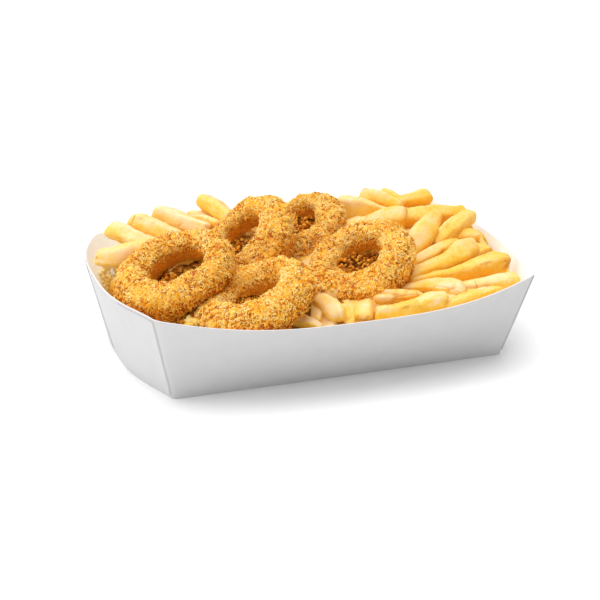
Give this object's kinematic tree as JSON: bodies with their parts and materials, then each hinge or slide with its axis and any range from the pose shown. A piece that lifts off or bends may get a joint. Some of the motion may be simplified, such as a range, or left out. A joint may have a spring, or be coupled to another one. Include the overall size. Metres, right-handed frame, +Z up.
{
  "type": "onion rings side",
  "caption": "Side dish of breaded onion rings lying on a heap of thick-cut fries in an open folded paperboard tray with bowed, slanted walls.",
  "frame": {"origin": "under the middle of the tray's base, on the surface the tray stands on", "axes": "+X along the tray's long side towards the end where the fries fan out, +Y from the front long wall to the back one, +Z up"},
  "size_m": [0.2349, 0.1744, 0.0774],
  "materials": {
    "paperboard": "smooth white coated board",
    "breading": "rough golden crumb coating, fried",
    "fried_potato": "pale golden fried potato, slightly oily"
  },
  "bodies": {
    "root": {"tray": "paperboard", "ring_1": "breading", "ring_2": "breading", "ring_3": "breading", "ring_4": "breading", "ring_5": "breading", "fries": "fried_potato"}
  },
  "joints": []
}
